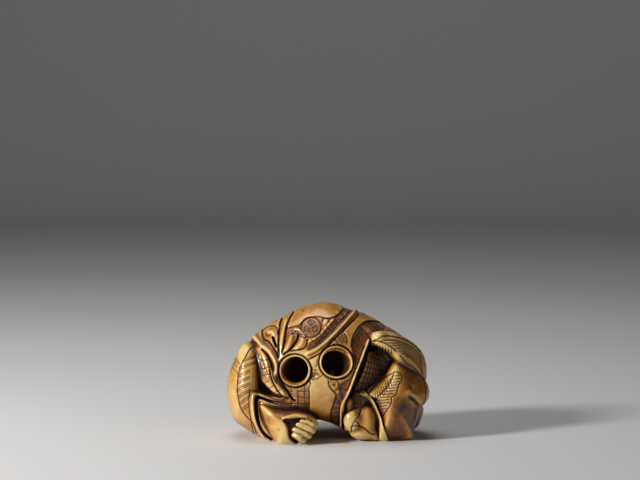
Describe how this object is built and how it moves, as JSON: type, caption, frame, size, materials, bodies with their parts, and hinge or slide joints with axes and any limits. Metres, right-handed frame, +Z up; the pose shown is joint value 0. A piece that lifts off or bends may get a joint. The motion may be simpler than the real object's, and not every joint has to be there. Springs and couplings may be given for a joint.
{
  "type": "netsuke",
  "caption": "Small carved ivory toggle: a crouching robed figure with a domed back, two rimmed cord holes, full sleeves and clenched hands.",
  "frame": {"origin": "centre of the bounding box, on the flat underside", "axes": "+Z up, +X along the figure's width, -Y towards the side with the cord holes"},
  "size_m": [0.0418, 0.0268, 0.0272],
  "materials": {
    "ivory": "satin"
  },
  "bodies": {
    "root": {"carved_figure": "ivory"}
  },
  "joints": []
}
